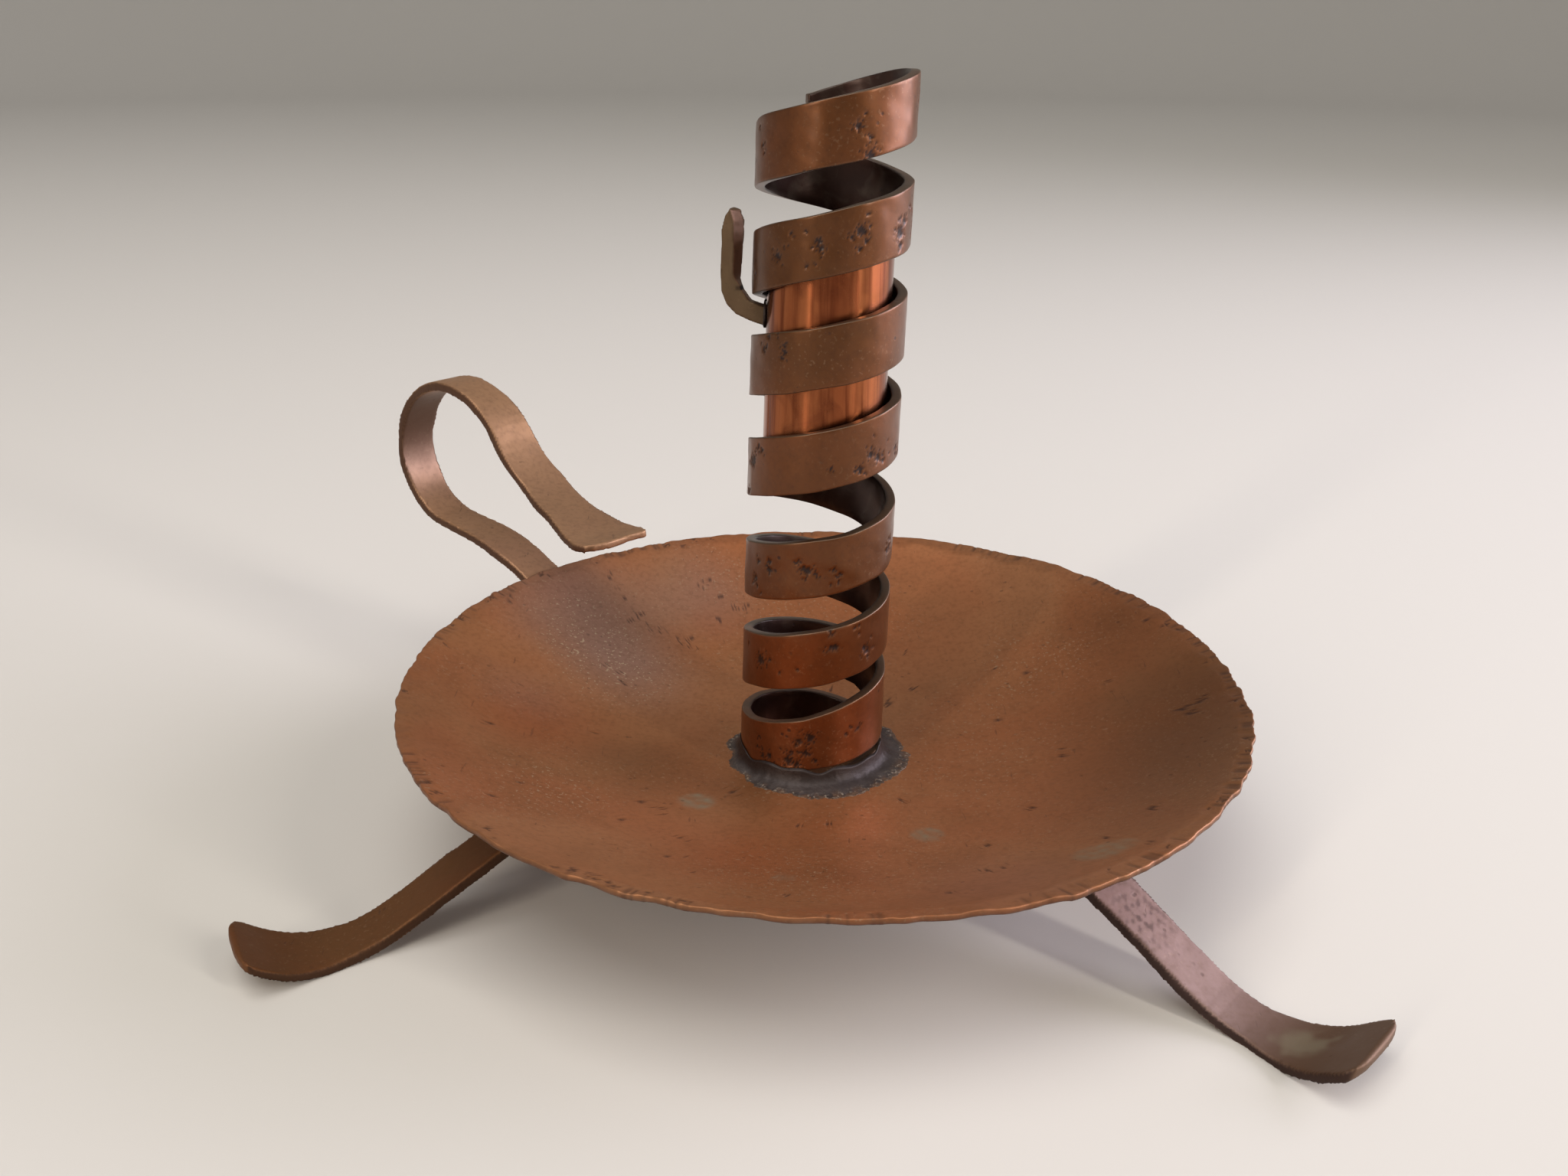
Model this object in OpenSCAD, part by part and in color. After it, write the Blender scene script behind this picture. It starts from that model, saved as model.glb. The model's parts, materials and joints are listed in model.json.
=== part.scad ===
// Pigtail candlestick of copper. A flat strip wound into an open spiral stands on a shallow dish, which has
// three bent strip feet and a strip handle. A tubular candle cup turns inside the spiral. Its thumb lever runs
// in the gap between two turns, so that turning it screws the cup up or down.
// Millimetres. +Z is up, the floor is z = 0, and the origin is the middle of the footprint.

/* [Dish] */
// Radius of the dish at its rim
dish_r = 87.8; // [80:0.1:106]
// Depth of the dish from rim to floor, inside
dish_depth = 18; // [14:0.5:22]
// Radius of the flat middle, where the spiral stands
dish_flat_r = 15; // [15:1:30]
// Thickness of the copper sheet
dish_sheet = 1.5; // [1:0.1:2]
// Thickness of the sheet at the rim, where hammering has thinned it
rim_t = 1.1; // [0.8:0.1:1.5]
// Width of the hammered bevel round the rim
rim_band = 3; // [2:0.5:5]
// Slope of the hammered bevel, in degrees
rim_slope = 16; // [10:1:18]
// How far the rim bulges out at the right front
rim_bulge = 2; // [0:0.1:3]
// How far the rim is beaten in at its left and right
rim_flat = 0.9; // [0:0.1:2]
// Height of the rim above the floor
rim_h = 35.6; // [33:0.1:45]
// Lean of the dish to the right, in degrees
dish_lean = 0.4; // [0:0.1:1]

/* [Spiral] */
// Outer radius of the spiral
spiral_r = 15; // [14.5:0.1:18]
// Thickness of the spiral's strip
strip_t = 2; // [1.2:0.1:2.2]
// Width of the spiral's strip
strip_w = 11.8; // [9.5:0.1:12]
// Height of the even spiral above the dish floor, one turn from the foot
foot_h = 18; // [17:0.1:20]
// Rise of the first turn, which leaves the foot
foot_rise = 20.4; // [19:0.1:20.8]
// Rise of the spiral in one turn, from there on
pitch = 20.4; // [20.3:0.1:24.5]
// Turns from the right-hand side of the foot to the pointed end
turns = 7.32; // [6.5:0.01:8.3]
// Sideways place of the spiral on the dish
spiral_x = -1.9; // [-3:0.1:3]
// Lean of the spiral to the right of the dish's axis, in degrees
spiral_lean_right = 1.1; // [0:0.1:2]
// Lean of the spiral to the back, in degrees
spiral_lean_back = 2.5; // [0:0.1:3]

/* [Cup and lever] */
// Clearance all round between the cup's tube and the spiral
cup_play = 0.9; // [0.6:0.1:1.4]
// Wall of the cup's tube
cup_wall = 0.9; // [0.7:0.1:1.1]
// Length of the cup's tube
cup_len = 44; // [36:1:50]
// Thickness of the disc that closes the cup from below
cup_floor_t = 1.2; // [0.8:0.1:2]
// Height of the lever's root above the cup's lower end
lever_up = 28.55; // [20:0.1:32]
// Whole turns of the spiral below the lever at rest
lever_turns = 4; // [3:1:5]
// Height of the lever's middle above the even spiral, in the gap between two turns
lever_over = 4.517; // [4.3:0.001:4.7]
// Direction in which the lever points, in degrees
lever_az = 170; // [165:1:175]
// Thickness of the lever along the spiral
lever_h = 3.4; // [2:0.1:3.6]
// Width of the lever across its path
lever_w = 2.6; // [2:0.1:4]
// Height of the lever's upright leaf
leaf_h = 15.8; // [10:0.1:20]

/* [Feet and handle] */
// Directions in which the front left, front right and back feet point, in degrees
leg_az = [207.8, 317.3, 83]; // [0:0.1:359.9]
// Width of the three feet's strips
leg_w = [10.7, 10.7, 10.7]; // [9:0.1:15]
// Width of their flared ends
leg_end_w = [16.6, 18.6, 17.6]; // [14:0.1:22]
// Length of their straight ends, past the upward curl
leg_tip = [5.3, 7, 6]; // [3:0.1:9]
// Thickness of the feet and the handle
bar_t = 2; // [1.5:0.1:3]
// Distance from the dish's axis at which the feet are soldered on
leg_seat_r = 47; // [40:1:55]
// Fall of a foot's straight run, in degrees
leg_slope = 28.3; // [24:0.1:32]
// Direction in which the handle points, in degrees
handle_az = 140; // [135:1:145]
// Width of the handle's strip
handle_w = 10.8; // [9:0.1:14]
// Width of the handle's strip at the top of its loop
handle_top_w = 9.7; // [8:0.1:13]
// How far the handle's flared end spreads to its front and back side
handle_end_w = [13.4, 3.6]; // [2:0.1:18]
// Size of the handle's loop, as a share of the drawn one
handle_size = 1; // [0.85:0.05:1.2]

/* [Fits] */
// Seam of solder between pieces that are joined
seam = 0.1; // [0.05:0.05:0.3]
// Depth of the flat that each foot stands on
pad_cut = 0.4; // [0.3:0.1:0.6]

/* [Hidden] */
$fn = 96;

COPPER = "#8a5a3c";
BRIGHT_COPPER = "#b8683c";
SOLDER = "#77726e";

// The inside of the dish is an arc that leaves the flat middle level and ends at the hammered bevel
wall_rise = dish_depth - rim_band * tan(rim_slope);
wall_run = dish_r - rim_band - dish_flat_r;
wall_r = (wall_run * wall_run + wall_rise * wall_rise) / (2 * wall_rise);
under_r = wall_r + dish_sheet;
rim_over = rim_bulge + 2;
rim_rise = rim_over * tan(rim_slope);
wall_top = asin(wall_run / wall_r);
wall_steps = 14;

// Uneven winding of the spiral: [turn, how far its top edge lies above the even spiral]
strip_top_wander = [[-0.2, 8.4], [-0.05, 7.4], [0.15, 6.3], [0.35, 4.5], [0.5, 2.2], [0.65, 0.6], [0.85, 3.2],
                    [1, 3.2], [1.2, 2.1], [1.45, 0.2], [2, 0.1], [2.5, -0.7], [2.8, -1.2], [3.2, -1.2],
                    [3.5, 0], [3.95, 0.5], [4.1, -0.5], [4.5, 0], [4.95, -0.4], [5.1, -1.2], [5.25, -1.1],
                    [5.5, -0.8], [5.8, 0.4], [5.95, 0.1], [6.1, -0.9], [6.3, -1.1], [6.6, -1.1], [6.8, -0.6],
                    [7, -0.8]];
// Extra width of the strip: [turn, how much wider]. It is broadest where the first turn leaves the foot
strip_extra_w = [[0.75, 0], [0.85, 1.6], [0.95, 3], [1.02, 2.2], [1.12, -0.8], [1.3, 0]];
strip_first = -0.2;
strip_steps_per_turn = 40;
strip_bevel = 0.4;
strip_end_h = 0.7;
tail_turns = 0.35;
tail_drop = 5.6;

cup_r = spiral_r - strip_t - cup_play;
cup_bore_r = cup_r - cup_wall;
lever_turn = lever_turns + lever_az / 360;
lever_mid = even_height(lever_turn) + lever_over;
cup_low = lever_mid - lever_up;
lever_rise = 17;
lever_out = spiral_r + 6.3;
leaf_w = 3.5;
collar_r = lever_h / 2 + 1.1;

bend_step = 5;
root_len = 22;
leg_flare_len = 22;
leg_tip_corner = 3.2;
foot_bend_r = 31;
foot_curl = 35;
foot_curl_r = 20;
root_bend_r = 8;
solder_bead = 2.5;
pool_r = spiral_r + 4.2;
pool_t = 0.5;
fillet_h = 3.6;
foot_x = spiral_x - dish_depth * tan(spiral_lean_right);
foot_y = -dish_depth * tan(spiral_lean_back);

// Place after a run of strip from place s = [x, y, heading]; a run is [length, bend], bent evenly
function after(s, run, share = 1) =
    let (l = run[0] * share, b = run[1] * share)
    let (chord = b == 0 ? l : l * sin(b / 2) / (b / 360 * PI))
    [s[0] + chord * cos(s[2] + b / 2), s[1] + chord * sin(s[2] + b / 2), s[2] + b];

// Places along all runs of a bent strip
function trace(s, runs, i = 0) =
    i == len(runs) ? [s] :
    let (n = max(1, ceil(abs(runs[i][1]) / bend_step)))
    concat([for (k = [0 : n - 1]) after(s, runs[i], k / n)], trace(after(s, runs[i]), runs, i + 1));

// A run that bends by b degrees at radius r
function bend(r, b) = [r * abs(b) * PI / 180, b];

// Point beside place s, at distance d to its left
function beside(s, d) = [s[0] - d * sin(s[2]), s[1] + d * cos(s[2])];

// Edge view of a strip of thickness t along the places
module strip_edge(places, t) {
    last = len(places) - 1;
    polygon(concat([for (s = places) beside(s, t / 2)],
                   [for (i = [last : -1 : 0]) beside(places[i], -t / 2)]));
}

// A strip bent in the plane of its edge view, cut to a plan outline, which is the child
module bent_strip(places, t, w) {
    intersection() {
        rotate([90, 0, 0])
            linear_extrude(w, center = true)
                strip_edge(places, t);
        translate([0, 0, -200])
            linear_extrude(400)
                children();
    }
}

// Plan of a strip of width w that flares to a rounded end of width end_w
module flared_plan(x0, x1, x2, w, end_w, corner) {
    power = 2 / 2.8;
    polygon(concat(
        [[x0, w / 2], [x0, -w / 2], [x1, -w / 2]],
        [for (a = [-90 : 10 : 90])
            [x2 - corner + corner * pow(cos(a), power),
             end_w / 2 * sign(a) * pow(abs(sin(a)), power)]],
        [[x1, w / 2]]));
}

// The dish's own frame: its origin is the middle of the rim
module in_dish() {
    translate([dish_x, dish_y, rim_h])
        rotate([0, dish_lean, 0])
            children();
}

// The spiral's own frame: z runs up its axis from the height of the rim
module in_spiral() {
    in_dish()
        translate([spiral_x, 0, 0])
            rotate([-spiral_lean_back, spiral_lean_right, 0])
                children();
}

// A point of the dish's wall, at angle a from its lowest line, on the arc of radius r, in the dish's frame
function wall_point(r, a) = [dish_flat_r + r * sin(a), wall_r - dish_depth - r * cos(a)];

// Rim radius in direction a, wavy from hammering
function rim_at(a) = dish_r + rim_bulge * exp(-pow((a - 298) / 16, 2)) - rim_flat * pow(cos(a), 16)
    + 0.5 * cos(2 * a - 20) + 0.25 * sin(17 * a) + 0.2 * sin(29 * a + 40);

module dish() {
    color(COPPER)
    in_dish()
        intersection() {
            rotate_extrude()
                polygon(concat(
                    [[0, -dish_depth]],
                    [for (i = [0 : wall_steps]) wall_point(wall_r, wall_top * i / wall_steps)],
                    [[dish_r + rim_over, rim_rise], [dish_r + rim_over, rim_rise - rim_t],
                     [dish_r, -rim_t]],
                    [for (i = [wall_steps : -1 : 0]) wall_point(under_r, wall_top * i / wall_steps)],
                    [[0, -dish_depth - dish_sheet]]));
            translate([0, 0, -50])
                linear_extrude(100)
                    polygon([for (a = [0 : 4 : 356]) rim_at(a) * [cos(a), sin(a)]]);
        }
}

// Height of the even spiral at turn t
function even_height(t) = foot_h - dish_depth + (t < 1 ? foot_rise : pitch) * (t - 1);

// Height of the strip's top edge at turn t, smoothed between the knots
function even_edge(t) = even_height(t) + lookup(t, strip_top_wander);
function tail_share(t) = max(0, min(1, (t - (turns - tail_turns)) / tail_turns));
function top_edge(t) =
    (even_edge(t - 0.08) + even_edge(t) + even_edge(t + 0.08)) / 3
    - (pitch * tail_turns + tail_drop - strip_end_h) * pow(tail_share(t), 1.6);

// Height of the dish's floor under the leaning spiral, at radius r and turn t
function floor_under(r, t) =
    -dish_depth + seam
    + r * (sin(spiral_lean_right) * cos(360 * t) + sin(spiral_lean_back) * sin(360 * t));

function low_edge(r, t) =
    let (full = strip_w + lookup(t, strip_extra_w))
    let (even = (even_edge(t - 0.08) + even_edge(t) + even_edge(t + 0.08)) / 3 - full)
    min(max(even, floor_under(r, t)), top_edge(t) - strip_end_h);

// Corners of the strip's section at turn t: inside low, outside low, outside high, inside high
function strip_section(t) =
    let (r0 = spiral_r - strip_t, r1 = spiral_r, b = min(strip_bevel, strip_end_h / 3))
    [for (p = [[r0, low_edge(r0, t)], [r1 - b, low_edge(r1, t)], [r1, low_edge(r1, t) + b],
               [r1, top_edge(t) - b], [r1 - b, top_edge(t)], [r0, top_edge(t)]])
        [p[0] * cos(360 * t), p[0] * sin(360 * t), p[1]]];

strip_places = [for (i = [0 : round((turns - strip_first) * strip_steps_per_turn)])
                strip_first + i / strip_steps_per_turn];

// Skin of a body through rings of points, with flat ends
module skin(rings) {
    n = len(rings[0]);
    last = len(rings) - 1;
    polyhedron(
        points = [for (ring = rings) each ring],
        faces = concat(
            [[for (k = [0 : n - 1]) k]],
            [for (i = [0 : last - 1], k = [0 : n - 1])
                let (a = i * n + k, b = i * n + (k + 1) % n)
                each [[a, a + n, b], [b, a + n, b + n]]],
            [[for (k = [n - 1 : -1 : 0]) last * n + k]]));
}

module spiral_strip() {
    color(COPPER)
    in_spiral()
        skin([for (t = strip_places) strip_section(t)]);
}

// Least gap of the spiral to itself, between each section and those a turn further up
strip_gaps = [for (t = strip_places, d = [-0.05 : 0.025 : 0.05]) if (t + 1 + d <= turns)
              norm(strip_section(t)[4] - strip_section(t + 1 + d)[1])];
echo(least_gap_of_spiral_to_itself = min(strip_gaps));

// Least gaps of the lever's arm to the strip above and below it, over the cup's whole travel
lever_half = lever_h / 2 + tan(lever_rise) * (spiral_r - cup_r) / 2;
lever_spread = asin(lever_w / 2 / (spiral_r - strip_t)) / 360;
lever_path = [for (t = [lever_turn - 3 : 1 / 24 : lever_turn + 1.5], d = [-lever_spread, lever_spread])
              [t + d, lever_mid + pitch * (t - lever_turn)]];
echo(least_gap_over_lever = min([for (p = lever_path) low_edge(spiral_r, p[0] + 1) - p[1] - lever_half]));
echo(least_gap_under_lever = min([for (p = lever_path) p[1] - lever_half - top_edge(p[0])]));

// Space below the dish's inside, up to height h over it
module below_inside(h) {
    rotate_extrude()
        polygon(concat(
            [[0, -dish_depth - 2], [0, h - dish_depth]],
            [for (i = [0 : 6]) wall_point(wall_r, wall_top * i / wall_steps) + [0, h]],
            [[wall_point(wall_r, wall_top * 6 / wall_steps)[0], -dish_depth - 2]]));
}

// A ragged pool of solder, with a fillet round the strip
module spiral_foot_solder() {
    color(SOLDER)
    difference() {
        in_dish()
            translate([foot_x, foot_y, -dish_depth]) {
                linear_extrude(pool_t)
                    polygon([for (a = [0 : 10 : 350])
                        (pool_r + 2.1 * cos(a + 35) + 0.4 * sin(7 * a) + 0.3 * cos(13 * a))
                            * [cos(a), sin(a)]]);
                rotate_extrude()
                    polygon([for (p = [[-1, 0], [3.6, 0], [3.6, 0.5], [2, 1.2], [1.2, 2.2], [0.8, fillet_h],
                                       [-1, fillet_h]])
                             p + [spiral_r, 0]]);
            }
        in_dish()
            below_inside(seam);
        in_spiral()
            translate([0, 0, -dish_depth - 10])
                cylinder(r = spiral_r + seam, h = 40);
    }
}

// Feet. The root lies along the dish's underside, and the straight run is as long as the floor asks
seat_a = asin((leg_seat_r - dish_flat_r) / under_r);
seat_shift = [for (az = leg_az) -leg_seat_r * cos(az) * tan(dish_lean)];
leg_mid = wall_point(under_r + seam + bar_t / 2, seat_a);
leg_out = after([leg_mid[0], leg_mid[1] + rim_h, seat_a], [root_len / 2, 0]);
leg_turned = after(leg_out, bend(root_bend_r, -seat_a - leg_slope));
foot_top = bar_t / 2 - pad_cut + foot_bend_r * (1 - cos(leg_slope));
leg_run = (leg_turned[1] - foot_top) / sin(leg_slope);
leg_runs = [[root_len, 0], bend(root_bend_r, -seat_a - leg_slope), [leg_run, 0], bend(foot_bend_r, leg_slope),
            bend(foot_curl_r, foot_curl)];
leg_start = after([leg_mid[0], leg_mid[1] + rim_h, seat_a], [-root_len / 2, 0]);
leg_places = [for (tip = leg_tip) trace(leg_start, concat(leg_runs, [[tip, 0]]))];
leg_reach = [for (places = leg_places) places[len(places) - 1][0]];

module leg(i) {
    color(COPPER)
    difference() {
        translate([dish_x, dish_y, seat_shift[i]])
            rotate([0, 0, leg_az[i]])
                bent_strip(leg_places[i], bar_t, leg_end_w[i])
                    flared_plan(0, leg_reach[i] - leg_flare_len, leg_reach[i], leg_w[i], leg_end_w[i],
                                leg_tip_corner);
        translate([-250, -250, -20])
            cube([500, 500, 20]);
    }
}

// Two beads of solder along the sides of a root that lies on the dish's underside. Its middle is p at slope a
module root_beads(p, a, w, len) {
    translate([p[0], 0, p[1]])
        rotate([0, -a, 0])
            for (side = [-1, 1])
                rotate([90, 0, 90])
                    linear_extrude(len, center = true)
                        polygon([[side * (w / 2 + seam), bar_t / 2],
                                 [side * (w / 2 + seam + solder_bead), bar_t / 2],
                                 [side * (w / 2 + seam), -bar_t / 2]]);
}

module leg_solder(i) {
    color(SOLDER)
    translate([dish_x, dish_y, rim_h + seat_shift[i]])
        rotate([0, 0, leg_az[i]])
            root_beads(leg_mid, seat_a, leg_w[i], root_len - 6);
}

// Handle. The root lies along the underside just inside the rim, lower where a steep wall would bring it up
// to the rim. The loop comes back over it and drifts to its front side, where it ends in a flared tail
handle_seat_r = dish_r - 6;
handle_seat_a = asin((handle_seat_r - dish_flat_r) / under_r);
handle_seat = wall_point(under_r + seam + bar_t / 2, handle_seat_a);
handle_top_at_rim = handle_seat[1] + bar_t / 2 / cos(handle_seat_a)
    + (dish_r - handle_seat[0]) * tan(handle_seat_a);
handle_mid = handle_seat - [0, max(0, handle_top_at_rim + rim_t + seam)];
handle_root = 20;
handle_rise_runs = [[19, -20], [12, 0], [29.8, 101]];
handle_back_runs = [[27, 75], [20, 53], [23, -41], [12, 0], [12, -25], [4, 0]];
handle_rise = trace(after([handle_mid[0], handle_mid[1], handle_seat_a], [-handle_root / 2, 0]),
                    concat([[handle_root, 0]], sized(handle_rise_runs)));
handle_back = trace(handle_rise[len(handle_rise) - 1], sized(handle_back_runs));
handle_top_x = handle_back[0][0];
handle_end_x = handle_back[len(handle_back) - 1][0];

function sized(runs) = [for (run = runs) [run[0] * handle_size, run[1]]];

// Plan of the part that rises from the root, narrowing to the top of the loop
module handle_rise_plan() {
    w = handle_w / 2;
    top = handle_top_w / 2;
    translate([handle_top_x, 0])
        polygon([[-100, w], [-34, w], [-14, top], [50, top], [50, -top], [-14, -top], [-34, -w], [-100, -w]]);
}

// Plan of the part that comes back: x is measured from the flared end, y to the handle's front side
module handle_tail_plan() {
    front = handle_end_w[0];
    back = handle_end_w[1];
    w = handle_top_w / 2;
    translate([handle_end_x, 0])
        polygon([[150, w], [56, w], [44, w + 0.4], [34, w + 1.3], [24, w + (front - w) * 0.44],
                 [15, w + (front - w) * 0.8], [9.5, front], [6.5, front - 0.5], [4.8, front - 2.2],
                 [3.8, front - 5], [3.2, 3], [2.6, 0], [2.2, -2], [3, -back + 0.4], [5.5, -back - 0.6],
                 [9, -back - 0.7], [14, -back - 0.2], [20, -back + 0.2], [28, -w + 0.1], [35, -w - 1.2],
                 [44, -w - 1.1], [56, -w - 0.3], [64, -w], [150, -w]]);
}

module handle() {
    color(COPPER)
    in_dish()
        rotate([0, 0, handle_az]) {
            bent_strip(handle_rise, bar_t, handle_w)
                handle_rise_plan();
            bent_strip(handle_back, bar_t, 3 * handle_end_w[0])
                handle_tail_plan();
        }
}

module handle_solder() {
    color(SOLDER)
    in_dish()
        rotate([0, 0, handle_az])
            root_beads(handle_mid, handle_seat_a, handle_w, handle_root - 9);
}

module cup_tube() {
    color(BRIGHT_COPPER)
    in_spiral()
        translate([0, 0, cup_low])
            difference() {
                cylinder(r = cup_r, h = cup_len);
                translate([0, 0, -1])
                    cylinder(r = cup_bore_r, h = cup_len + 2);
            }
}

module cup_floor() {
    color(BRIGHT_COPPER)
    in_spiral()
        translate([0, 0, cup_low - seam - cup_floor_t])
            cylinder(r = cup_r, h = cup_floor_t);
}

// The lever's frame: x points outwards along the lever, z up the spiral's axis from the middle of the arm
module in_lever() {
    in_spiral()
        translate([0, 0, lever_mid])
            rotate([0, 0, lever_az])
                children();
}

// Side view of the lever: an arm that rises outwards, a corner and an upright leaf with a pointed top
module lever_outline() {
    x0 = cup_r + seam + 0.05;
    x1 = spiral_r + 0.4;
    up = (x1 - x0) * tan(lever_rise) / 2;
    low = -lever_h / 2;
    x3 = lever_out;
    x2 = lever_out - leaf_w;
    polygon([[x0, low - up], [x1, low + up], [x1 + 2.6, low + up + 1.1], [x3 - 1.4, low + up + 2.9],
             [x3 - 0.3, low + up + 5.2], [x3, low + up + 9], [x3 - 0.2, leaf_h], [x3 - 0.8, leaf_h + 2.4],
             [x3 - 1.8, leaf_h + 3.8], [x2 + 0.9, leaf_h + 3.4], [x2 + 0.2, leaf_h + 1.4], [x2, leaf_h - 5],
             [x2 + 0.2, 6.4], [x2 - 0.6, 4.3], [x1 + 0.4, lever_h / 2 + up + 0.3],
             [x1, lever_h / 2 + up], [x0, lever_h / 2 - up]]);
}

module thumb_lever() {
    color(COPPER)
    in_lever()
        rotate([90, 0, 0])
            linear_extrude(lever_w, center = true)
                lever_outline();
}

// A thin collar of solder on the cup round the lever's root
module lever_solder() {
    color(SOLDER)
    difference() {
        in_lever()
            intersection() {
                rotate([0, 90, 0])
                    cylinder(r = collar_r, h = spiral_r);
                translate([0, 0, -10])
                    cylinder(r = cup_r + 0.6, h = 20);
            }
        in_lever() {
            translate([0, 0, -10])
                cylinder(r = cup_r + seam, h = 20);
            translate([0, -lever_w / 2 - seam, -lever_h / 2 - 0.7])
                cube([spiral_r, lever_w + 2 * seam, lever_h + 1.4]);
        }
    }
}

// The footprint's middle is the origin, so the dish's axis stands a little off it
function foot_reach(i, a) =
    (leg_reach[i] - leg_tip_corner) * cos(leg_az[i] - a)
    + (leg_end_w[i] / 2 - leg_tip_corner) * abs(sin(leg_az[i] - a)) + leg_tip_corner;
dish_x = (foot_reach(0, 180) - foot_reach(1, 0)) / 2;
dish_y = (foot_reach(1, 270) - foot_reach(2, 90)) / 2;

dish();
spiral_strip();
spiral_foot_solder();
leg(0);  // leg_front_left
leg(1);  // leg_front_right
leg(2);  // leg_back
leg_solder(0);  // leg_solder_front_left
leg_solder(1);  // leg_solder_front_right
leg_solder(2);  // leg_solder_back
handle();
handle_solder();
cup_tube();
cup_floor();
thumb_lever();
lever_solder();
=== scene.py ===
"""Pigtail candlestick of old copper: the shapes and finishes of its surfaces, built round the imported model."""
import json
import math

import bpy
import numpy as np
from bpy.props import FloatProperty, FloatVectorProperty, PointerProperty
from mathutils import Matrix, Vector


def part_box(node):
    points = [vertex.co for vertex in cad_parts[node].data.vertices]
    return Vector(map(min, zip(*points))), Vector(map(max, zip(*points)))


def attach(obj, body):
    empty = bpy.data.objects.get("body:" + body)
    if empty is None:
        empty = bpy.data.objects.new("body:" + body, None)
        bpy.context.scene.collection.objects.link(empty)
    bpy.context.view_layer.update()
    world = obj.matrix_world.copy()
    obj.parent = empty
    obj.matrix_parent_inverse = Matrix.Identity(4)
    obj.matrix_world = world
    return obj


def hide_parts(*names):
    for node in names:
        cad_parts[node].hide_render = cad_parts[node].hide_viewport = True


bl_info = {
    "name": "Pigtail Candlestick",
    "version": (1, 0, 0),
    "blender": (4, 5, 0),
    "location": "3D View > Sidebar > Candlestick",
    "description": "Builds an old copper candlestick with a spiral of flat strip on a hammered dish",
    "category": "Object",
}

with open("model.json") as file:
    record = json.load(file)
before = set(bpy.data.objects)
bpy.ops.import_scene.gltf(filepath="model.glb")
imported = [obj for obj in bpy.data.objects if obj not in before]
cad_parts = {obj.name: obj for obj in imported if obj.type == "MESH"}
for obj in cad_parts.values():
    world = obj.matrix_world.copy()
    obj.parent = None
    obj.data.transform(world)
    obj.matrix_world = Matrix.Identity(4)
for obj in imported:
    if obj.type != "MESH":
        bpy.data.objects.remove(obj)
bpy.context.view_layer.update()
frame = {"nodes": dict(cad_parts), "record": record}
MOUNTS = {mount["name"]: mount for mount in frame["record"]["mounts"]}

MM = 0.001
RIM_HEIGHT = 35.6 * MM
DISH_LEAN = math.radians(0.4)
MIX_FACTOR, MIX_A, MIX_B, MIX_COLOUR = 0, 6, 7, 2


def hex_colour(text):
    """Linear colour of an sRGB hex value"""
    def linear(channel):
        return channel / 12.92 if channel <= 0.04045 else ((channel + 0.055) / 1.055) ** 2.4
    return tuple(linear(int(text[i:i + 2], 16) / 255) for i in (1, 3, 5))


def millimetres(label, description, default):
    """A size that a user may change"""
    return FloatProperty(name=label, description=description, default=default * MM, unit="LENGTH", precision=5)


def finish_colour(label, description, default):
    """A colour that a user may change"""
    return FloatVectorProperty(name=label, description=description, subtype="COLOR", size=3, min=0, max=1,
                               default=hex_colour(default))


class CandlestickSizes(bpy.types.PropertyGroup):
    """Sizes of the dish, the strip and their wear"""
    dish_r: millimetres("Dish radius", "Radius of the dish at its rim", 87.8)
    dish_depth: millimetres("Dish depth", "Depth of the dish from its rim to its floor", 18)
    dish_flat_r: millimetres("Flat radius", "Radius of the flat middle of the dish", 15)
    dish_sheet: millimetres("Sheet thickness", "Thickness of the dish's copper sheet", 1.5)
    rim_band: millimetres("Rim band", "Width of the hammered bevel round the rim", 3)
    rim_t: millimetres("Rim thickness", "Thickness of the sheet at the rim", 1.2)
    hammer_depth: millimetres("Hammer marks", "Depth of the hammer marks in the bars and the sheet", 0.05)
    bar_end_t: millimetres("Bar ends", "Thickness of the beaten ends of the feet and the handle", 1)
    pit_depth: millimetres("Pit depth", "Depth of the larger pits in the strip", 0.22)
    pool_r: millimetres("Solder pool", "Radius of the solder round the spiral's foot", 19.4)
    fillet_h: millimetres("Solder fillet", "Height of the solder against the spiral's foot", 3.8)


class CandlestickColours(bpy.types.PropertyGroup):
    """Colours of the finishes"""
    patina: finish_colour("Patina", "Warm brown patina of the copper", "#a06b45")
    patina_red: finish_colour("Red patina", "Redder patches, where the patina is thin", "#a15b34")
    patina_olive: finish_colour("Olive patina", "Olive patches, where it is thick", "#5c371b")
    # Lilac: partly a film of oxide and fine dust, partly a painted sheen from a window's reflection on the dish and
    # the handle
    lilac: finish_colour("Lilac film", "Cool film of oxide and fine dust", "#94796d")
    pit: finish_colour("Pits", "Dark oxide in pits and grooves", "#261818")
    dust: finish_colour("Dust", "Beige dust and worn specks", "#b9a183")
    bright: finish_colour("Bright copper", "Copper that is rubbed bright", "#ab6842")
    solder: finish_colour("Solder", "Dull lead and tin solder", "#4f4745")
    floor: finish_colour("Floor", "The studio's floor and backdrop", "#cecbc6")


class Axes:
    """Directions and an origin to build a piece in"""

    def __init__(self, origin, x, z):
        self.origin = np.array(origin, float)
        z = np.array(z, float) / np.linalg.norm(z)
        x = np.array(x, float) - np.dot(x, z) * z
        x = x / np.linalg.norm(x)
        self.rows = np.array([x, np.cross(z, x), z])

    def out(self, points):
        """Points in the candlestick's frame, from points in these axes"""
        return self.origin + np.asarray(points) @ self.rows

    def into(self, points):
        """Points in these axes, from points in the candlestick's frame"""
        return (np.asarray(points) - self.origin) @ self.rows.T


def foot_centre():
    """Where the dish's axis meets the floor: the point as far from each of the three feet"""
    a, b, c = (np.array(MOUNTS[name]["pos_m"][:2]) for name in
               ("front_left_foot", "front_right_foot", "back_foot"))
    sides = 2 * np.array([b - a, c - a])
    return np.linalg.solve(sides, [b @ b - a @ a, c @ c - a @ a])


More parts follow.
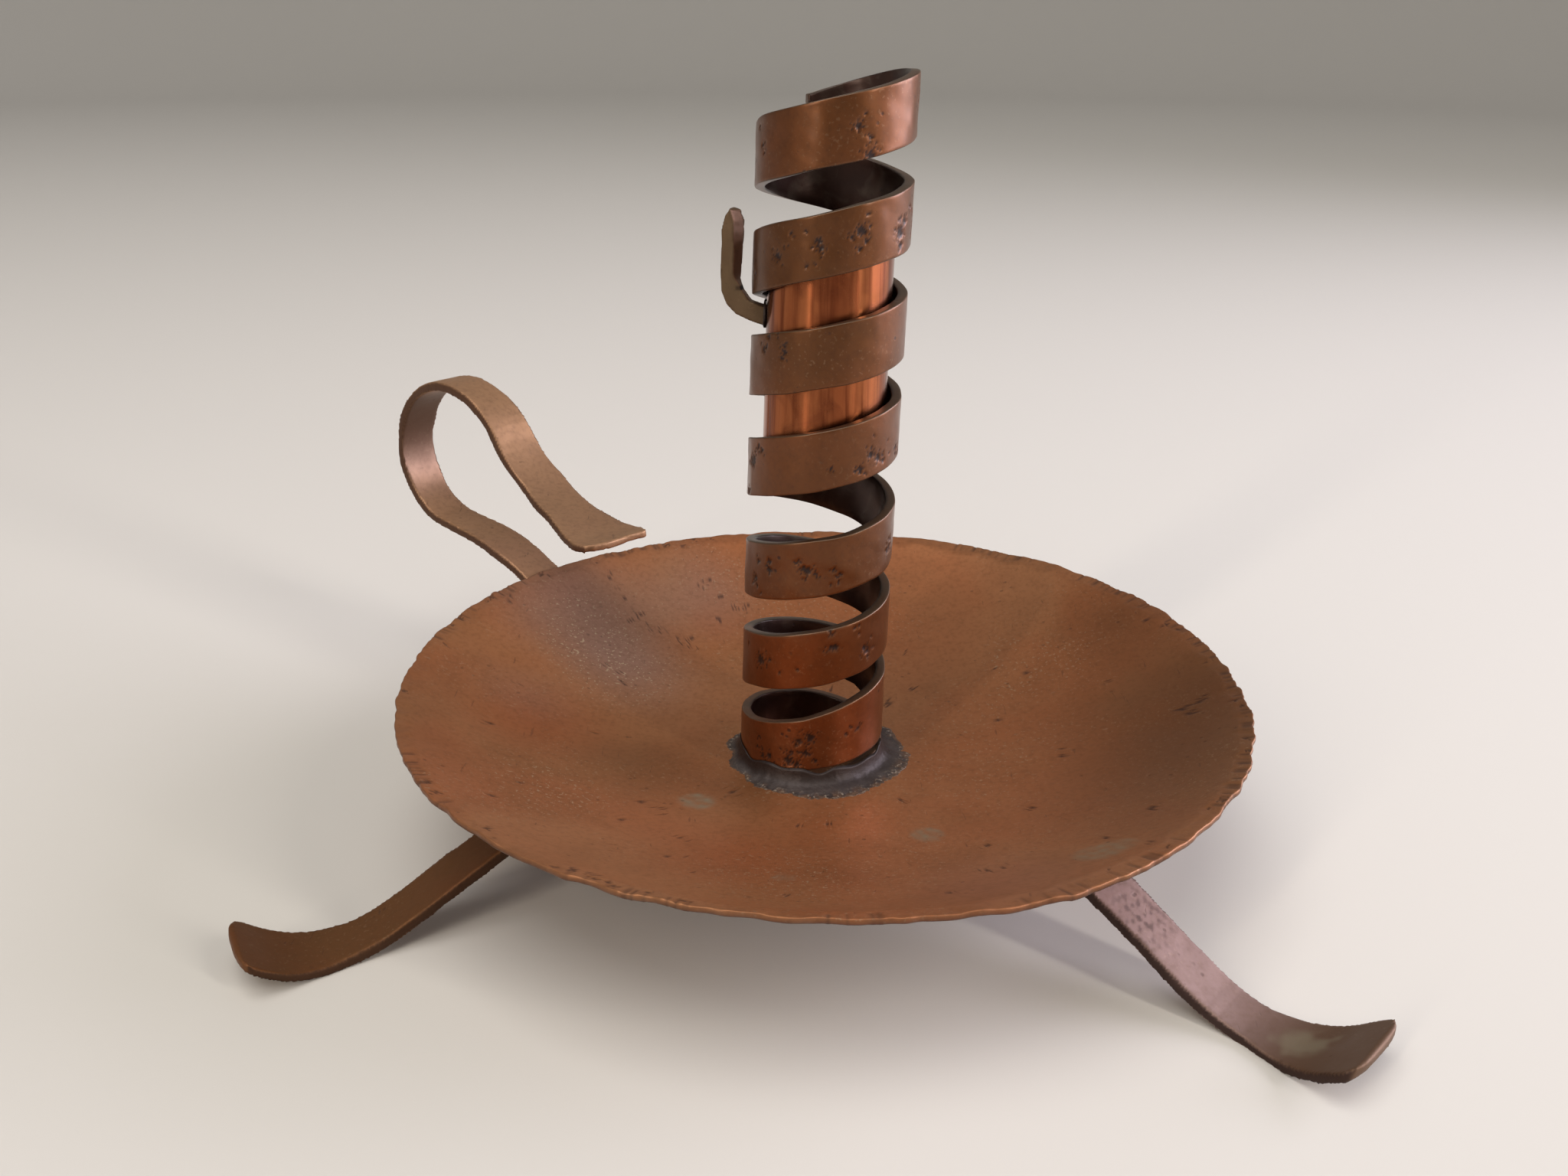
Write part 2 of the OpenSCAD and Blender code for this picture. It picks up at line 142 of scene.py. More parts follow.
def dish_axes():
    """The dish's own axes, with their origin at the middle of the rim"""
    lean = (math.sin(DISH_LEAN), 0, math.cos(DISH_LEAN))
    return Axes((*foot_centre(), RIM_HEIGHT), (1, 0, 0), lean)


def spiral_axes():
    """The spiral's own axes, with their origin at the middle of the cup"""
    cup = MOUNTS["candle_cup"]
    axis = cup["axis"]
    return Axes(cup["pos_m"], (axis[2], 0, -axis[0]), axis)


def bar_axes(node):
    """Axes of a foot or the handle: x points outwards from the dish, z up"""
    low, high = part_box(node)
    centre = np.array((*foot_centre(), 0))
    way = np.array((low + high) / 2) - centre
    return Axes(centre, (way[0], way[1], 0), (0, 0, 1))


def waves(points, size, seed, count=16):
    """Smooth seeded noise of spread 1, with bumps about as far apart as size"""
    rng = np.random.default_rng(seed)
    points = np.asarray(points, float)
    ways = rng.normal(size=(count, points.shape[1]))
    ways /= np.linalg.norm(ways, axis=1)[:, None]
    steps = 2 * math.pi / (size * rng.uniform(0.7, 1.6, count))
    starts = rng.uniform(0, 2 * math.pi, count)
    total = sum(np.sin(points @ (way * step) + start) for way, step, start in zip(ways, steps, starts))
    return total * math.sqrt(2 / count)


def smooth(x, low, high):
    """0 below low, 1 above high, and smooth between"""
    share = np.clip((x - low) / (high - low), 0, 1)
    return share * share * (3 - 2 * share)


def blots(points, centres, radii, seed):
    """How deep each point lies in ragged pits: 0 outside and 1 in the middle"""
    ragged = 1 + 0.35 * waves(points, np.median(radii) * 1.3, seed)
    depth = np.zeros(len(points))
    for centre, radius in zip(centres, radii):
        near = np.all(np.abs(points - centre) < 2 * radius, axis=1)
        away = np.linalg.norm(points[near] - centre, axis=1) * ragged[near] / radius
        depth[near] = np.maximum(depth[near], 1 - smooth(away, 0.55, 0.95))
    return depth


def stain(points, marks, softness=1.0):
    """How strongly round stains tint each point. A mark is (x, y, radius, strength), in millimetres"""
    total = np.zeros(len(points))
    for x, y, radius, strength in marks:
        away = np.hypot(points[:, 0] / MM - x, points[:, 1] / MM - y) / radius
        total += strength * (1 - smooth(away, 1 - softness, 1))
    return np.clip(total, 0, 1)


def make_piece(name, points, faces, body, node, slot, material, **marks):
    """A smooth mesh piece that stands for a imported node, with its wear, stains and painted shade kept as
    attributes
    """
    mesh = bpy.data.meshes.new(name)
    mesh.from_pydata(np.asarray(points).tolist(), [], faces)
    mesh.validate()
    piece = bpy.data.objects.new(name, mesh)
    bpy.context.scene.collection.objects.link(piece)
    return dress(piece, body, node, slot, material, **marks)


def dress(piece, body, node, slot, material, **marks):
    """Finish a mesh piece: smooth shading, wear attributes, material, body and node. The slot is not used."""
    mesh = piece.data
    mesh.shade_smooth()
    for mark, values in marks.items():
        attribute = mesh.attributes.new(mark, "FLOAT", "POINT")
        attribute.data.foreach_set("value", np.asarray(values, np.float32))
    mesh.materials.clear()
    mesh.materials.append(material)
    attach(piece, body)
    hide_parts(node)
    return piece


def rings_to_faces(rings, count, closed=False):
    """Quads between rings of count points, each ring a closed loop; the row of rings closes if asked"""
    faces = []
    last = rings if closed else rings - 1
    for i in range(last):
        a, b = i * count, (i + 1) % rings * count
        faces += [(a + k, b + k, b + (k + 1) % count, a + (k + 1) % count) for k in range(count)]
    return faces


def node_points(node):
    """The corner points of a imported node"""
    mesh = frame["nodes"][node].data
    points = np.empty(len(mesh.vertices) * 3)
    mesh.vertices.foreach_get("co", points)
    return points.reshape(-1, 3)


def mesh_points(mesh):
    """The points and normals of a mesh"""
    points = np.empty(len(mesh.vertices) * 3)
    normals = np.empty(len(mesh.vertices) * 3)
    mesh.vertices.foreach_get("co", points)
    mesh.vertex_normals.foreach_get("vector", normals)
    return points.reshape(-1, 3), normals.reshape(-1, 3)


def worked_copy(name, node, cell, passes):
    """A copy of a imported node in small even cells, with its corners rounded as by a hammer and a file"""
    rough = bpy.data.objects.new(name + "_rough", frame["nodes"][node].data.copy())
    bpy.context.scene.collection.objects.link(rough)
    remesh = rough.modifiers.new("cells", "REMESH")
    remesh.mode = "VOXEL"
    remesh.voxel_size = cell
    rounding = rough.modifiers.new("rounding", "SMOOTH")
    rounding.factor = 0.5
    rounding.iterations = passes
    shown = rough.evaluated_get(bpy.context.evaluated_depsgraph_get())
    mesh = bpy.data.meshes.new_from_object(shown)
    bpy.data.objects.remove(rough)
    piece = bpy.data.objects.new(name, mesh)
    bpy.context.scene.collection.objects.link(piece)
    return piece


def add(tree, kind, inputs=None, stops=None, **settings):
    """Add a shader node with its settings, its values and links, and the stops of a ramp"""
    node = tree.nodes.new(kind)
    for key, value in settings.items():
        setattr(node, key, value)
    for key, value in (inputs or {}).items():
        if isinstance(value, bpy.types.NodeSocket):
            tree.links.new(value, node.inputs[key])
        else:
            node.inputs[key].default_value = value
    for i, (place, value) in enumerate(stops or []):
        stop = node.color_ramp.elements[i] if i < 2 else node.color_ramp.elements.new(place)
        stop.position = place
        stop.color = (value, value, value, 1)
    return node


def per(size):
    """Noise scale whose bumps are about size millimetres apart"""
    return 1 / (size * MM)


def new_material(name):
    """An empty material with its output, and the object's own coordinates"""
    material = bpy.data.materials.new(name)
    material.use_nodes = True
    tree = material.node_tree
    tree.nodes.clear()
    output = add(tree, "ShaderNodeOutputMaterial")
    place = add(tree, "ShaderNodeTexCoord").outputs["Object"]
    return material, tree, output, place


def tint(tree, factor, first, second, blend_type="MIX"):
    """The first colour turned towards the second by factor"""
    return add(tree, "ShaderNodeMix", {MIX_FACTOR: factor, MIX_A: first, MIX_B: second},
               data_type="RGBA", blend_type=blend_type, clamp_factor=True).outputs[MIX_COLOUR]


def noise(tree, place, size, detail=3, distortion=0.0):
    """Noise with bumps about size millimetres apart"""
    return add(tree, "ShaderNodeTexNoise", {"Vector": place, "Scale": per(size), "Detail": detail,
                                            "Distortion": distortion}).outputs["Fac"]


def ramp(tree, value, *stops):
    """A value passed through a ramp of (place, height) stops"""
    return add(tree, "ShaderNodeValToRGB", {"Fac": value}, stops).outputs["Color"]


def sums(tree, operation, *values):
    """One arithmetic step on values"""
    return add(tree, "ShaderNodeMath", dict(enumerate(values)), operation=operation).outputs[0]


def rgba(colour):
    """A colour with full opacity"""
    return (*colour, 1)


def patinated_copper(name, main, warm, dark, edge, metallic=0.6, roughness=0.4, coat=0.0, dust=0.3, pits=0.5):
    """Copper sheet and strip, heated, hammered and left to brown. The oxide skin is thin: a satin gloss over
    warm brown that drifts to red where it is thin and olive where it is thick, though some olive marks are painted
    shade, and lilac under fine dust and where a painted sheen lies, with small dark pits, hair scratches, edges of
    their own colour, beige specks, and painted shade of dark mottled oxide on undersides and in recesses."""
    colours = bpy.context.scene.candlestick_colours
    material, tree, output, place = new_material(name)
    marks = {mark: add(tree, "ShaderNodeAttribute", attribute_name=mark).outputs["Fac"]
             for mark in ("wear", "pit", "side", "lilac", "red", "deep", "dusty", "spot")}
    patches = ramp(tree, noise(tree, place, 42, 3, 0.5), (0.42, 0), (0.66, 1))
    clouds = ramp(tree, noise(tree, place, 17, 4, 0.4), (0.42, 0), (0.7, 1))
    grain = noise(tree, place, 1.1, 5)
    colour = tint(tree, sums(tree, "MAXIMUM", sums(tree, "MULTIPLY", patches, 0.5), marks["red"]),
                  rgba(main), rgba(warm))
    # Olive where the patina is thick; where the dish's right wall and the handle's rise are marked deep, it is
    # painted shade
    colour = tint(tree, sums(tree, "MAXIMUM", sums(tree, "MULTIPLY", clouds, 0.3), marks["deep"]), colour,
                  rgba(dark))
    # Lilac film of oxide and dust, and a painted sheen where the dish's back-left wall and the handle's rise caught
    # a window's reflection
    colour = tint(tree, marks["lilac"], colour, rgba(colours.lilac))
    colour = tint(tree, sums(tree, "MULTIPLY", ramp(tree, grain, (0.45, 0), (0.75, 1)), 0.3), colour, rgba(dark))
    specks = ramp(tree, noise(tree, place, 0.7, 2), (0.61, 0), (0.68, 1))
    dusty = ramp(tree, noise(tree, place, 30, 2, 0.5), (0.4, 0), (0.7, dust))
    dusty = sums(tree, "MAXIMUM", dusty, marks["dusty"])
    colour = tint(tree, sums(tree, "MULTIPLY", specks, dusty), colour, rgba(colours.dust))
    colour = tint(tree, sums(tree, "MULTIPLY", marks["spot"], 0.6), colour, rgba(hex_colour("#8b816b")))
    # Small pits gather in clusters, and each is about half a millimetre wide
    holes = add(tree, "ShaderNodeTexVoronoi", {"Vector": place, "Scale": per(2.6)})
    small = ramp(tree, holes.outputs["Distance"], (0.1, 1), (0.2, 0))
    clusters = ramp(tree, noise(tree, place, 8, 3), (0.57, 0), (0.62, 1))
    small = sums(tree, "MULTIPLY", sums(tree, "MULTIPLY", small, clusters), pits)
    along = add(tree, "ShaderNodeMapping", {"Vector": place, "Scale": (1.0, 0.1, 1.0), "Rotation": (0, 0, 0.6)})
    scratches = ramp(tree, noise(tree, along.outputs["Vector"], 0.9, 2, 0.2), (0.71, 0), (0.75, 0.3))
    dark_marks = sums(tree, "MAXIMUM", small, marks["pit"])
    colour = tint(tree, sums(tree, "MAXIMUM", dark_marks, scratches), colour, rgba(colours.pit))
    colour = tint(tree, marks["wear"], colour, rgba(edge))
    # Painted shade: the dish's underside and the strip's inner face turn to a dark mottled colour
    shade_paint = tint(tree, ramp(tree, noise(tree, place, 5, 5, 0.8), (0.5, 0), (0.72, 0.8)), rgba(colours.pit),
                rgba(hex_colour("#4d453f")))
    colour = tint(tree, marks["side"], colour, shade_paint)
    rough = sums(tree, "MULTIPLY_ADD", clouds, 0.1, roughness)
    rough = sums(tree, "MULTIPLY_ADD", dark_marks, 0.25, rough)
    rough = sums(tree, "MULTIPLY_ADD", marks["wear"], 0.2, rough)
    relief = sums(tree, "MULTIPLY_ADD", grain, 0.25, sums(tree, "MULTIPLY", small, -1))
    relief = sums(tree, "MULTIPLY_ADD", scratches, -0.5, relief)
    bump = add(tree, "ShaderNodeBump", {"Height": relief, "Strength": 0.35, "Distance": 0.25 * MM})
    shader = add(tree, "ShaderNodeBsdfPrincipled",
                 {"Base Color": colour, "Metallic": metallic, "Roughness": rough,
                  "Coat Weight": coat, "Coat Roughness": 0.28, "Normal": bump.outputs["Normal"]})
    tree.links.new(shader.outputs["BSDF"], output.inputs["Surface"])
    return material


def polished_copper():
    """Drawn copper tube, rubbed bright by the turns of the strip: clear orange metal with dark streaks along
    its length. Fine scratches round it draw each light out into a tall line."""
    colours = bpy.context.scene.candlestick_colours
    material, tree, output, place = new_material("polished_copper_tube")
    along = add(tree, "ShaderNodeMapping", {"Vector": place, "Scale": (1, 1, 0.02)}).outputs["Vector"]
    streaks = noise(tree, along, 1.3, 4)
    bands = ramp(tree, noise(tree, along, 5, 2), (0.35, 0), (0.65, 1))
    film = ramp(tree, noise(tree, place, 7, 4, 0.8), (0.45, 0), (0.75, 1))
    colour = tint(tree, sums(tree, "MULTIPLY", bands, 0.6), rgba(colours.bright), rgba(hex_colour("#874528")))
    colour = tint(tree, sums(tree, "MULTIPLY", film, 0.5), colour, rgba(hex_colour("#622f20")))
    colour = tint(tree, ramp(tree, streaks, (0.45, 0), (0.7, 0.85)), colour, rgba(hex_colour("#64301d")))
    # Painted shade inside the bore
    inner = add(tree, "ShaderNodeAttribute", attribute_name="side").outputs["Fac"]
    colour = tint(tree, inner, colour, rgba(hex_colour("#2c1c16")))
    rough = sums(tree, "MULTIPLY_ADD", film, 0.12, 0.19)
    bump = add(tree, "ShaderNodeBump", {"Height": streaks, "Strength": 0.25, "Distance": 0.06 * MM})
    axis = dict(zip("XYZ", MOUNTS["candle_cup"]["axis"]))
    upright = add(tree, "ShaderNodeCombineXYZ", axis).outputs["Vector"]
    shader = add(tree, "ShaderNodeBsdfPrincipled",
                 {"Base Color": colour, "Metallic": 1.0, "Roughness": rough, "Anisotropic": 0.85,
                  "Tangent": upright, "Normal": bump.outputs["Normal"]})
    tree.links.new(shader.outputs["BSDF"], output.inputs["Surface"])
    return material


def lead_solder(name, crumbly=0.8):
    """Soft solder that ran and set dull: lead grey, smooth where it flowed, crumbly and pale towards its edge,
    with painted shade, dark brown, in the corner against the strip and on the beads."""
    colours = bpy.context.scene.candlestick_colours
    material, tree, output, place = new_material(name)
    edge, corner = (add(tree, "ShaderNodeAttribute", attribute_name=mark).outputs["Fac"]
                    for mark in ("wear", "side"))
    clouds = ramp(tree, noise(tree, place, 4, 4, 0.5), (0.35, 0), (0.7, 1))
    crumbs = noise(tree, place, 0.8, 4)
    colour = tint(tree, clouds, rgba(colours.solder), rgba(hex_colour("#332b29")))
    rusty = ramp(tree, noise(tree, place, 2.5, 3), (0.45, 0), (0.6, 0.9))
    colour = tint(tree, sums(tree, "MULTIPLY", rusty, edge), colour, rgba(hex_colour("#6a503e")))
    pale = ramp(tree, crumbs, (0.57, 0), (0.63, crumbly))
    colour = tint(tree, sums(tree, "MULTIPLY", pale, edge), colour, rgba(hex_colour("#a99c8c")))
    colour = tint(tree, ramp(tree, edge, (0.8, 0), (1, 0.7)), colour, rgba(hex_colour("#5f4c3e")))
    # Painted shade: dark brown in the pool's corner against the strip and on the beads
    colour = tint(tree, corner, colour, rgba(hex_colour("#2a201e")))
    bump = add(tree, "ShaderNodeBump", {"Height": crumbs, "Strength": sums(tree, "MULTIPLY_ADD", edge, 0.5, 0.25),
                                        "Distance": 0.4 * MM})
    shader = add(tree, "ShaderNodeBsdfPrincipled",
                 {"Base Color": colour, "Metallic": 0.5, "Roughness": 0.48, "Normal": bump.outputs["Normal"]})
    tree.links.new(shader.outputs["BSDF"], output.inputs["Surface"])
    return material


def floor_height(sizes, r):
    """Height of the dish's inside over its axis, from the rim's plane, at radius r"""
    rise = sizes.dish_depth - sizes.rim_band * math.tan(math.radians(16))
    run = sizes.dish_r - sizes.rim_band - sizes.dish_flat_r
    wall_r = (run * run + rise * rise) / (2 * rise)
    over = np.maximum(np.asarray(r) - sizes.dish_flat_r, 0)
    return wall_r - sizes.dish_depth - np.sqrt(wall_r ** 2 - over ** 2)


def rim_radius(sizes, angle):
    """Radius of the rim in each direction: broad bulges, hammered scallops and small notches"""
    degrees = np.degrees(angle) % 360
    ring = np.stack([np.cos(angle), np.sin(angle)], 1) * sizes.dish_r
    broad = (2 * np.exp(-((degrees - 298) / 16) ** 2) - 0.9 * np.cos(angle) ** 16
             + 0.5 * np.cos(2 * angle - math.radians(20)))
    return sizes.dish_r + broad * MM + waves(ring, 10 * MM, 5) * 0.17 * MM + waves(ring, 3.5 * MM, 6) * 0.07 * MM


class CANDLESTICK_OT_dish(bpy.types.Operator):
    """Build the shallow dish of sheet copper with its hammered bevel rim"""
    bl_idname = "candlestick.dish"
    bl_label = "Dish"

    around = 1080
    rings_inside = 64
    rings_bevel = 8
    rings_edge = 5
    rings_under = 24
    # Stains as (x, y, radius, strength), in millimetres from the dish's axis. The lilac stains on the back-left
    # wall are partly a lilac film and partly a painted sheen, and the deep stains on the right wall are partly
    # olive patina and partly painted shade
    lilac = [(-57, 46, 30, 0.6), (-44, 28, 22, 0.45), (-30, 62, 22, 0.4), (-64, 8, 16, 0.2), (30, -68, 24, 0.2)]
    red = [(-62, -2, 24, 0.7), (-17, -50, 26, 0.7), (-38, -34, 20, 0.5), (42, -20, 26, 0.5), (20, 50, 34, 0.35),
           (10, -30, 16, 0.4)]
    deep = [(80, 0, 48, 0.75), (66, -36, 40, 0.5), (-36, -12, 24, 0.45), (-14, -20, 16, 0.4), (70, 40, 26, 0.5),
            (2, -56, 18, 0.3)]
    dusty = [(-48, 28, 24, 1), (-58, 44, 20, 0.8), (-54, -30, 24, 0.6), (-3, -4, 31, 0.7), (-20, 40, 20, 0.3),
             (-5, -64, 32, 0.6)]
    spots = [(-25.3, -24.8, 4.2, 1), (19.6, -38.1, 3.8, 0.9), (47.1, -60.3, 5, 0.8), (51, -58.5, 4, 0.6),
             (-8, -60, 2.6, 0.5)]
    gouges = [(78, -4.5, 1.2), (77, -7, 0.8), (-52, 60, 1), (-50, 57, 0.9), (-44, 50, 1.1), (-40, 47, 1.2),
              (-33, 45, 1), (-30, 43, 1.2), (-28, 66, 1), (-24, 63, 0.8), (-20, 60, 1.2), (28, -59.4, 1),
              (31, -58, 0.7), (-22, 48, 0.8), (16, 21, 0.9)]

    def notches(self, angle, radius):
        """Narrow chisel marks that cross the bevel: 1 in the middle of a mark and 0 beside it"""
        rng = np.random.default_rng(35)
        marks = np.zeros(len(angle))
        for centre in rng.uniform(0, 2 * math.pi, 34):
            for place in centre + rng.normal(size=rng.integers(3, 8)) * 0.05:
                away = np.abs((angle - place + math.pi) % (2 * math.pi) - math.pi) * radius
                marks = np.maximum(marks, rng.uniform(0.4, 1) * (1 - smooth(away, 0.1 * MM, 0.6 * MM)))
        return marks

    def execute(self, context):
        sizes = context.scene.candlestick_sizes
        colours = context.scene.candlestick_colours
        angle = np.linspace(0, 2 * math.pi, self.around, endpoint=False)
        circle = np.stack([np.cos(angle), np.sin(angle)], 1)
        ring = circle * sizes.dish_r
        notch = self.notches(angle, sizes.dish_r)
        rim = rim_radius(sizes, angle) - notch * 0.12 * MM
        bevel_start = sizes.dish_r - sizes.rim_band * (1 + 0.1 * waves(ring, 8 * MM, 7))
        bevel_rise = math.tan(math.radians(16)) * (1 + 0.03 * waves(ring, 9 * MM, 8))
        rows, marks = [], []

        def row(radius, height, wear=0.0, pit=0.0, side=0.0):
            rows.append(np.column_stack([circle * radius[:, None], height]))
            marks.append(np.column_stack([np.full(self.around, mark) if np.ndim(mark) == 0 else mark
                                          for mark in (wear, pit, side)]))

        for i in range(self.rings_inside + 1):
            radius = bevel_start * ((i + 1) / (self.rings_inside + 1)) ** 0.9
            row(radius, floor_height(sizes, radius))
        inside = floor_height(sizes, bevel_start)
        for i in range(1, self.rings_bevel + 1):
            share = i / self.rings_bevel
            radius = bevel_start + (rim - bevel_start) * share
            cut = notch * smooth(np.array(share), 0.1, 0.5)
            row(radius, inside + (radius - bevel_start) * bevel_rise - cut * 0.13 * MM, 0.15 * share, cut * 0.7)
        lip = rows[-1][:, 2]
        half = sizes.rim_t / 2
        # The rim's rounded edge, with painted shade growing towards the underside
        for i in range(1, self.rings_edge + 1):
            turn = math.pi * i / (self.rings_edge + 1)
            row(rim + half * 0.4 * math.sin(turn), lip - half * (1 - math.cos(turn)), 0.4 - 0.08 * i,
                notch * 0.5, 0.15 * i)
        # The underside of the sheet, in painted shade
        for i in range(self.rings_under + 1):
            radius = (rim - 0.1 * MM) * (1 - i / (self.rings_under + 1))
            arc = floor_height(sizes, np.minimum(radius, bevel_start)) - sizes.dish_sheet
            share = smooth(radius, bevel_start, rim)
            row(radius, arc * (1 - share) + (lip - sizes.rim_t) * share, side=0.45)

        points = np.concatenate(rows)
        wear, pit, side = np.concatenate(marks).T
        inner = self.around * (self.rings_inside + 1)
        above = inner + self.around * self.rings_bevel
        beaten = waves(points, 16 * MM, 21) * 0.7 + waves(points, 7 * MM, 22) * 0.3
        points[:, 2] += beaten * sizes.hammer_depth
        points[inner:above, 2] += waves(points[inner:above], 3 * MM, 23) * 0.03 * MM

        rng = np.random.default_rng(31)
        count = 90
        turn = rng.uniform(0, 2 * math.pi, count)
        out = sizes.dish_r * np.where(rng.random(count) < 0.5, rng.uniform(0.955, 0.995, count),
                                      np.sqrt(rng.uniform(0.08, 0.9, count)))
        centres = np.column_stack([np.cos(turn) * out, np.sin(turn) * out])
        radii = rng.uniform(0.4, 0.85, count) * MM
        for x, y, size in np.array(self.gouges) * MM:
            spread = rng.normal(size=(5, 2)) * size
            centres = np.vstack([centres, spread + (x, y)])
            radii = np.append(radii, rng.uniform(0.3, 0.6, 5) * size)
        dents = blots(points[:above, :2], centres, radii, 32)
        pit[:above] = np.maximum(pit[:above], dents * 0.75)
        points[:above, 2] -= dents * 0.15 * MM

        count = len(points)
        middle = float(floor_height(sizes, 0))
        points = np.vstack([points, [[0, 0, middle], [0, 0, middle - sizes.dish_sheet]]])
        faces = [face[::-1] for face in rings_to_faces(len(rows), self.around)]
        last = (len(rows) - 1) * self.around
        for k in range(self.around):
            faces.append((count, k, (k + 1) % self.around))
            faces.append((count + 1, last + (k + 1) % self.around, last + k))
        top = np.arange(len(points)) < above
        stains = {name: stain(points, getattr(self, name), 1 if name != "spots" else 0.35) * top
                  for name in ("lilac", "red", "deep", "dusty", "spots")}
        stains["spot"] = stains.pop("spots") * (0.75 + 0.25 * waves(points, 2 * MM, 36))
        material = patinated_copper("patinated_copper_sheet", colours.patina, colours.patina_red,
                                    colours.patina_olive, hex_colour("#7a5a40"), dust=0.35, pits=0.35)
        make_piece("dish_sheet", dish_axes().out(points), faces, "stand", "dish", "patinated_copper", material,
                   wear=np.append(wear, [0, 0]), pit=np.append(pit, [0, 0]), side=np.append(side, [0, 0.45]),
                   **stains)
        return {"FINISHED"}


def strip_edges():
    """Turn, lower edge, upper edge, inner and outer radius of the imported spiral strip, section by section"""
    steps = 40
    local = spiral_axes().into(node_points("spiral_strip"))
    radius = np.hypot(local[:, 0], local[:, 1])
    outer = local[radius > radius.max() - 0.05 * MM]
    column = np.round(np.degrees(np.arctan2(outer[:, 1], outer[:, 0])) % 360 / (360 / steps)).astype(int) % steps
    pairs = []
    for k in range(steps):
        heights = np.unique(np.round(outer[column == k, 2] / MM, 2)) * MM
        pairs.append(heights.reshape(-1, 2))
    counts = [len(pair) for pair in pairs]
    first = next(k for k in range(steps) if counts[k] > counts[k - 1])
    sections = []
    for i in range(sum(counts)):
        k = (first + i) % steps
        low, top = pairs[k][(first + i) // steps - (1 if k < first else 0)]
        sections.append(((first + i) / steps - 1, low, top))
    turn, low, top = np.array(sections).T
    return turn, low, top, radius.min(), radius.max()


class CANDLESTICK_OT_spiral(bpy.types.Operator):
    """Build the spiral of flat strip, with its eased corners, dents and clusters of pits"""
    bl_idname = "candlestick.spiral"
    bl_label = "Spiral"

    steps_per_turn = 300
    across_outside = 32
    across_inside = 8
    corner = 0.26

    def section(self):
        """Points round the strip's section: shares of its height and thickness, and corner radii to step in"""
        ease = np.radians([30, 60])
        places = [(s, 1, 1 - 2 * s, 0) for s in np.linspace(0, 1, self.across_outside)]
        places += [(1, 1, math.sin(a) - 1, math.cos(a) - 1) for a in ease]
        places += [(1, s, 0, 1 - 2 * s) for s in np.linspace(1, 0, 4)]
        places += [(1, 0, math.cos(a) - 1, 1 - math.sin(a)) for a in ease]
        places += [(s, 0, 1 - 2 * s, 0) for s in np.linspace(1, 0, self.across_inside)]
        places += [(0, 0, 1 - math.sin(a), 1 - math.cos(a)) for a in ease]
        places += [(0, s, 0, 1 - 2 * s) for s in np.linspace(0, 1, 4)]
        places += [(0, 1, 1 - math.cos(a), math.sin(a) - 1) for a in ease]
        return np.array(places)

    def execute(self, context):
        sizes = context.scene.candlestick_sizes
        turn, low, top, inner_r, outer_r = strip_edges()
        count = int((turn[-1] - turn[0]) * self.steps_per_turn) + 1
        t = np.linspace(turn[0], turn[-1] - 0.012, count)
        along = np.column_stack([t * 2 * math.pi * outer_r, np.zeros(count)])
        tail = smooth(t, turn[-1] - 0.35, turn[-1] - 0.05)
        low = np.interp(t, turn, low) - 0.23 * MM - tail * 1.5 * MM + waves(along, 10 * MM, 42) * 0.05 * MM
        top = np.interp(t, turn, top) + 0.23 * MM - tail * 0.5 * MM + waves(along, 12 * MM, 41) * 0.05 * MM
        places = self.section()
        around = len(places)
        corner = np.minimum(self.corner * MM, 0.25 * (top - low))[:, None]
        z = low[:, None] + (top - low)[:, None] * places[:, 0] + corner * places[:, 2]
        r = inner_r + (outer_r - inner_r) * places[:, 1] + corner * places[:, 3]
        turns = np.repeat(t[:, None], around, 1).ravel()
        flat = np.column_stack([turns * 2 * math.pi * outer_r, z.ravel()])
        z, r = z.ravel(), r.ravel()
        outside = smooth(r, inner_r + 1.3 * MM, outer_r - 0.3 * MM)

        # Clusters of pits, each a few ragged holes that lean together
        rng = np.random.default_rng(51)
        centres, radii = [], []
        for where in rng.uniform(0.05, t[-1] - 0.1, 105):
            lean = rng.normal(size=2) * 0.5
            middle = np.interp(where, t, (low + top) / 2) + rng.uniform(-4.2, 4.2) * MM
            for _ in range(rng.integers(1, 8)):
                step = rng.normal() * 1.7 * MM
                spread = rng.normal(size=2) * 0.7 * MM
                centres.append((where * 2 * math.pi * outer_r + step * lean[0] + spread[0],
                                middle + step * (1 + lean[1]) * 0.6 + spread[1]))
                radii.append(rng.choice([0.3, 0.5, 0.8, 1.2], p=[0.5, 0.32, 0.15, 0.03]) * MM)
        pit = blots(flat, np.array(centres), np.array(radii), 52) * outside
        dents = waves(flat, 10 * MM, 43) * 0.8 + waves(flat, 4 * MM, 44) * 0.3
        r = r + dents * sizes.hammer_depth - pit * sizes.pit_depth
        angle = turns * 2 * math.pi
        points = np.column_stack([np.cos(angle) * r, np.sin(angle) * r, z])

        rim = np.isin(places[:, 0], (0, 1)) & (places[:, 2] > -0.9) & (places[:, 2] < 0.9)
        wear = np.tile(rim * 0.8, count) * (0.85 + 0.12 * waves(flat, 6 * MM, 46))
        # Painted shade on the strip's inner face, which faces the cup
        shade_paint = (1 - smooth(r, inner_r + 0.05 * MM, inner_r + 0.5 * MM)) * 0.85
        height = turns / 7
        faces = rings_to_faces(count, around)
        faces += [tuple(range(around)), tuple(range(count * around - 1, (count - 1) * around - 1, -1))]
        material = patinated_copper("patinated_copper_strip", hex_colour("#60360f"), hex_colour("#864b28"),
                                    hex_colour("#43260f"), hex_colour("#574838"), 0.85, 0.36, coat=0.45,
                                    dust=0.15, pits=0.7)
        make_piece("spiral_winding", spiral_axes().out(points), faces, "stand", "spiral_strip",
                   "patinated_copper", material, wear=np.clip(wear, 0, 1), pit=pit * 0.95, side=shade_paint,
                   red=np.clip(0.75 - height * 1.5, 0, 1))
        return {"FINISHED"}


